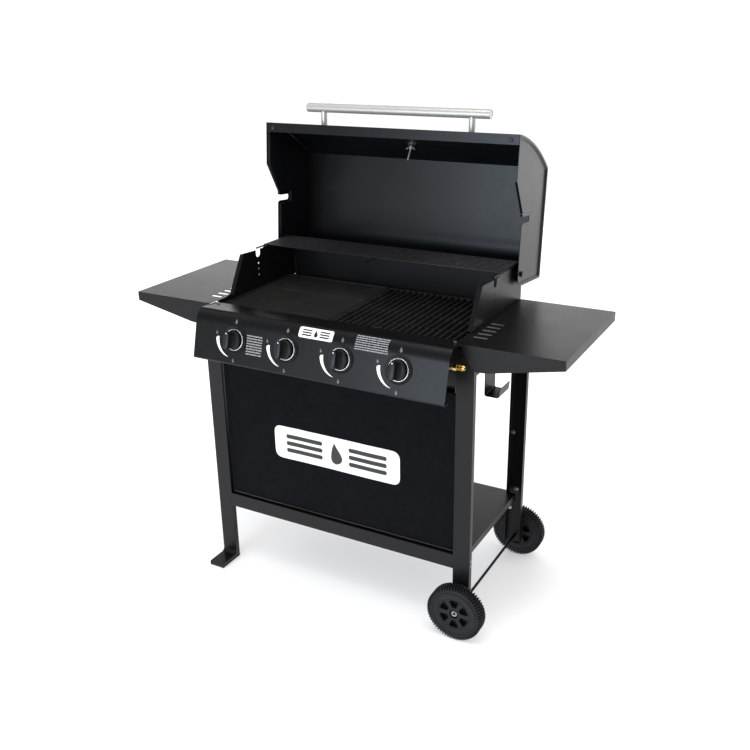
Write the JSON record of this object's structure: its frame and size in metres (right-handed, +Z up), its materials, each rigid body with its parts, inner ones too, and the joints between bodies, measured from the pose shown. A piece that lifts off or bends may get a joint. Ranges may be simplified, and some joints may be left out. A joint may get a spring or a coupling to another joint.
{
  "type": "hooded gas barbecue cart",
  "caption": "Hooded gas barbecue on a channel-leg cart with two wheels, side shelves, hotplate, grill, warming rack, control knobs and a fabric front panel.",
  "frame": {"origin": "on the floor, at the bottom centre of the bounding box with the hood open", "axes": "+X to the right of someone at the knobs, +Y to the back, +Z up"},
  "size_m": [1.264, 0.6627, 1.3107],
  "materials": {
    "black_powder_coat": "semi-gloss black powder coat, fine orange peel",
    "hood_enamel": "semi-gloss black enamel",
    "cast_iron": "matt black cast surface",
    "stainless": "brushed along the bar",
    "zinc_plate": "bright zinc plate",
    "bezel_chrome": "black disc with a bright raised ring",
    "aluminised_steel": "dull aluminised sheet",
    "black_wire": "black enamelled wire",
    "wheel_plastic": "moulded, with tread blocks",
    "knob_plastic": "satin moulded",
    "brass": "machined",
    "woven_fabric": "plain woven polyester"
  },
  "bodies": {
    "cart": {"leg_front_left": "black_powder_coat", "leg_front_right": "black_powder_coat", "leg_rear_left": "black_powder_coat", "leg_rear_right": "black_powder_coat", "front_rail": "black_powder_coat", "bottom_shelf": "black_powder_coat", "bottle_hook": "black_powder_coat", "firebox_side_left": "black_powder_coat", "firebox_side_right": "black_powder_coat", "firebox_front_wall": "black_powder_coat", "firebox_rear_wall": "black_powder_coat", "fascia": "black_powder_coat", "side_shelf_left": "black_powder_coat", "side_shelf_right": "black_powder_coat", "tray_runner_left": "black_powder_coat", "tray_runner_right": "black_powder_coat", "hotplate": "cast_iron", "grill": "cast_iron", "axle": "zinc_plate", "fabric_bottom_rod": "zinc_plate", "fabric_top_rod": "zinc_plate", "bezel_1": "bezel_chrome", "bezel_2": "bezel_chrome", "bezel_3": "bezel_chrome", "bezel_4": "bezel_chrome", "gas_manifold": "aluminised_steel", "flame_tamer_left": "aluminised_steel", "flame_tamer_right": "aluminised_steel", "burner_1": "aluminised_steel", "burner_2": "aluminised_steel", "burner_3": "aluminised_steel", "burner_4": "aluminised_steel", "warming_rack": "black_wire", "gas_inlet": "brass", "valve_1": "brass", "valve_2": "brass", "valve_3": "brass", "valve_4": "brass", "fabric_panel": "woven_fabric"},
    "hood": {"hood_shell": "hood_enamel", "hood_side_left": "hood_enamel", "hood_side_right": "hood_enamel", "hood_handle_bar": "stainless", "handle_post_left": "stainless", "handle_post_right": "stainless", "thermometer": "stainless", "thermometer_nut": "stainless", "hinge_pin_left": "zinc_plate", "hinge_pin_right": "zinc_plate"},
    "wheel_front": {"wheel_front": "wheel_plastic"},
    "wheel_rear": {"wheel_rear": "wheel_plastic"},
    "grease_tray": {"grease_tray": "aluminised_steel"},
    "stem_1": {"valve_stem_1": "zinc_plate"},
    "knob_1": {"knob_1": "knob_plastic"},
    "stem_2": {"valve_stem_2": "zinc_plate"},
    "knob_2": {"knob_2": "knob_plastic"},
    "stem_3": {"valve_stem_3": "zinc_plate"},
    "knob_3": {"knob_3": "knob_plastic"},
    "stem_4": {"valve_stem_4": "zinc_plate"},
    "knob_4": {"knob_4": "knob_plastic"}
  },
  "joints": [
    {"name": "hood_hinge", "type": "hinge", "parent": "cart", "child": "hood", "pos_m": [0, 0.1551, 0.893], "axis": [1, 0, 0], "range_deg": [0, 95]},
    {"name": "wheel_front_spin", "type": "hinge", "parent": "cart", "child": "wheel_front", "pos_m": [0.387, -0.2415, 0.0775], "axis": [0, 1, 0], "continuous": true},
    {"name": "wheel_rear_spin", "type": "hinge", "parent": "cart", "child": "wheel_rear", "pos_m": [0.387, 0.2225, 0.0775], "axis": [0, 1, 0], "continuous": true},
    {"name": "tray_slide", "type": "slide", "parent": "cart", "child": "grease_tray", "axis": [0, 1, 0], "range_m": [0, 0.32]},
    {"name": "knob_1_push", "type": "slide", "parent": "cart", "child": "stem_1", "axis": [0, 0.9659, -0.2588], "range_m": [0, 0.003], "stiffness_N_per_m": 800, "springref_m": -0.002},
    {"name": "knob_1_turn", "type": "hinge", "parent": "stem_1", "child": "knob_1", "pos_m": [-0.2415, -0.28689, 0.75], "axis": [0, -0.9659, 0.2588], "range_deg": [0, 180]},
    {"name": "knob_2_push", "type": "slide", "parent": "cart", "child": "stem_2", "axis": [0, 0.9659, -0.2588], "range_m": [0, 0.003], "stiffness_N_per_m": 800, "springref_m": -0.002},
    {"name": "knob_2_turn", "type": "hinge", "parent": "stem_2", "child": "knob_2", "pos_m": [-0.0793, -0.28689, 0.75], "axis": [0, -0.9659, 0.2588], "range_deg": [0, 180]},
    {"name": "knob_3_push", "type": "slide", "parent": "cart", "child": "stem_3", "axis": [0, 0.9659, -0.2588], "range_m": [0, 0.003], "stiffness_N_per_m": 800, "springref_m": -0.002},
    {"name": "knob_3_turn", "type": "hinge", "parent": "stem_3", "child": "knob_3", "pos_m": [0.0829, -0.28689, 0.75], "axis": [0, -0.9659, 0.2588], "range_deg": [0, 180]},
    {"name": "knob_4_push", "type": "slide", "parent": "cart", "child": "stem_4", "axis": [0, 0.9659, -0.2588], "range_m": [0, 0.003], "stiffness_N_per_m": 800, "springref_m": -0.002},
    {"name": "knob_4_turn", "type": "hinge", "parent": "stem_4", "child": "knob_4", "pos_m": [0.2451, -0.28689, 0.75], "axis": [0, -0.9659, 0.2588], "range_deg": [0, 180]}
  ]
}
